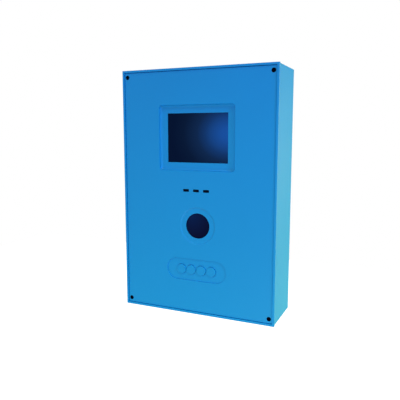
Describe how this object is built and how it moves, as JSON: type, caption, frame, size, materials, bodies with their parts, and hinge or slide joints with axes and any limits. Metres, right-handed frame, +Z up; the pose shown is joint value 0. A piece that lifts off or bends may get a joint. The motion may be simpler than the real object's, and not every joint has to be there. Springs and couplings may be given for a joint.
{
  "type": "parking pay station",
  "caption": "Wall-mounted cashless parking pay terminal: box case, screwed inset front cover with display window, status lights, round code reader port and a row of push buttons.",
  "frame": {"origin": "centre of the case's back face, on the wall", "axes": "+Y into the wall, +Z up, +X to the right seen from the front"},
  "size_m": [0.2032, 0.0736, 0.3044],
  "materials": {
    "case_plastic": "satin moulded blue",
    "cover_plastic": "satin moulded blue, a little lighter",
    "button_plastic": "satin moulded blue",
    "window_acrylic": "dark tinted clear acrylic",
    "seal_rubber": "black soft rubber and foam",
    "black_plastic": "black moulded plastic",
    "green_plastic": "green moulded terminal plastic",
    "white_plastic": "white plastic",
    "display_glass": "lit display panel behind glass",
    "circuit_board": "green solder mask",
    "blue_board": "blue solder mask",
    "steel": "zinc plated",
    "black_steel": "black oxide",
    "spring_steel": "bare spring wire",
    "brass": "plain turned",
    "dark_aluminium": "black anodised",
    "cable_sheath": "black sheath",
    "red_sheath": "red insulation",
    "flat_cable": "grey flat cable"
  },
  "bodies": {
    "case": {"housing": "case_plastic", "threaded_inserts": "brass", "cable_grommet": "seal_rubber", "mounting_plate": "steel", "plate_screws": "steel", "power_supply": "steel", "supply_terminals": "black_plastic", "supply_leads": "red_sheath", "field_terminals": "green_plastic", "board_standoffs": "brass", "main_board": "circuit_board", "board_screws": "steel", "board_chips": "black_plastic", "heat_sink": "dark_aluminium", "clock_cell": "steel", "ribbon_socket": "black_plastic", "modem_board": "blue_board", "modem_shield": "steel", "antenna": "black_plastic", "antenna_lead": "cable_sheath"},
    "cover": {"front_cover": "cover_plastic", "cover_seal": "seal_rubber", "cover_screws": "black_steel", "display_window": "window_acrylic", "display_gasket": "seal_rubber", "display_panel": "display_glass", "display_board": "circuit_board", "display_screws": "steel", "cover_ribbon": "flat_cable", "status_lenses": "window_acrylic", "status_board": "circuit_board", "status_leds": "white_plastic", "status_screws": "steel", "reader_window": "window_acrylic", "reader_housing": "black_plastic", "reader_board": "circuit_board", "reader_lens": "black_plastic", "reader_screws": "steel", "reader_ribbon": "flat_cable", "keypad_guide": "black_plastic", "keypad_board": "circuit_board", "keypad_switches": "black_plastic", "keypad_screws": "steel", "keypad_ribbon": "flat_cable", "button_spring_1": "spring_steel", "button_spring_2": "spring_steel", "button_spring_3": "spring_steel", "button_spring_4": "spring_steel"},
    "button_1": {"button_1": "button_plastic", "switch_plunger_1": "white_plastic"},
    "button_2": {"button_2": "button_plastic", "switch_plunger_2": "white_plastic"},
    "button_3": {"button_3": "button_plastic", "switch_plunger_3": "white_plastic"},
    "button_4": {"button_4": "button_plastic", "switch_plunger_4": "white_plastic"}
  },
  "joints": [
    {"name": "cover_lift_off", "type": "slide", "parent": "case", "child": "cover", "axis": [0, -1, 0], "range_m": [0, 0.12]},
    {"name": "button_1_press", "type": "slide", "parent": "cover", "child": "button_1", "axis": [0, 1, 0], "range_m": [0, 0.0012], "stiffness_N_per_m": 1200, "springref_m": -0.0005, "deforming": ["button_spring_1"]},
    {"name": "button_2_press", "type": "slide", "parent": "cover", "child": "button_2", "axis": [0, 1, 0], "range_m": [0, 0.0012], "stiffness_N_per_m": 1200, "springref_m": -0.0005, "deforming": ["button_spring_2"]},
    {"name": "button_3_press", "type": "slide", "parent": "cover", "child": "button_3", "axis": [0, 1, 0], "range_m": [0, 0.0012], "stiffness_N_per_m": 1200, "springref_m": -0.0005, "deforming": ["button_spring_3"]},
    {"name": "button_4_press", "type": "slide", "parent": "cover", "child": "button_4", "axis": [0, 1, 0], "range_m": [0, 0.0012], "stiffness_N_per_m": 1200, "springref_m": -0.0005, "deforming": ["button_spring_4"]}
  ]
}
